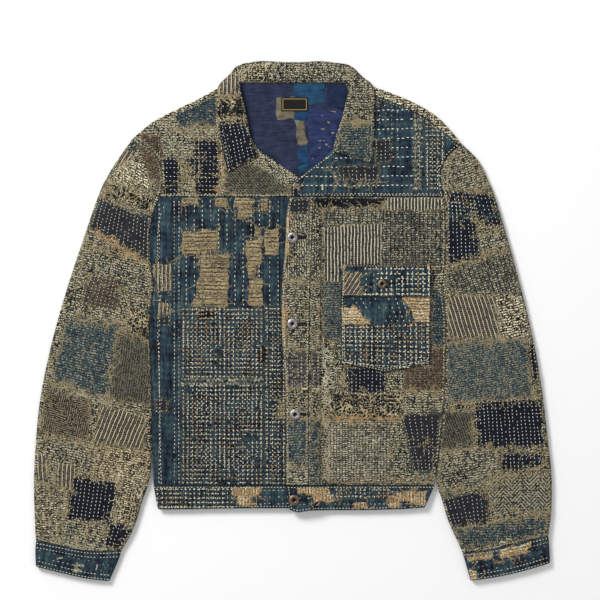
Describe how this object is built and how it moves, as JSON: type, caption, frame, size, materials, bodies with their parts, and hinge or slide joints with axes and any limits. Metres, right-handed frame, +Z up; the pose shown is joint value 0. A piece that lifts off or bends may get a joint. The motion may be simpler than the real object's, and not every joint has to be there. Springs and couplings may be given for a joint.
{
  "type": "patched boro jacket",
  "caption": "Long-sleeved waist-length jacket of stitched indigo and brown patches, laid flat, with a spread collar, a button front and a flapped chest pocket.",
  "frame": {"origin": "on the surface the jacket lies on, under the middle of its bounding box", "axes": "+X towards the wearer's left sleeve, +Y from the hem towards the collar, +Z up from the surface, out of the fronts"},
  "size_m": [0.7758, 0.7786, 0.0192],
  "materials": {
    "patched_cloth": "matte heavily stitched cotton patchwork",
    "indigo_cloth": "matte indigo dyed cotton with running stitches",
    "lining_cloth": "smooth printed indigo cotton",
    "label_cloth": "black woven satin with a plain gold border",
    "silver_metal": "worn silver-grey tack button",
    "copper_metal": "worn copper-brown tack button"
  },
  "bodies": {
    "root": {"back": "patched_cloth", "back_lining": "lining_cloth", "neck_label": "label_cloth", "front_right": "indigo_cloth", "front_left": "patched_cloth", "placket_left": "patched_cloth", "yoke_right": "patched_cloth", "yoke_left": "indigo_cloth", "shoulder_edge_right": "patched_cloth", "shoulder_edge_left": "patched_cloth", "collar": "patched_cloth", "chest_pocket": "indigo_cloth", "pocket_flap": "indigo_cloth", "waistband_right": "indigo_cloth", "waistband_left": "indigo_cloth", "waistband_back": "indigo_cloth", "sleeve_right": "patched_cloth", "sleeve_left": "patched_cloth", "cuff_right": "indigo_cloth", "cuff_left": "indigo_cloth", "button_front_1": "silver_metal", "button_front_2": "silver_metal", "button_front_3": "silver_metal", "button_front_4": "copper_metal", "button_pocket": "copper_metal"}
  },
  "joints": []
}
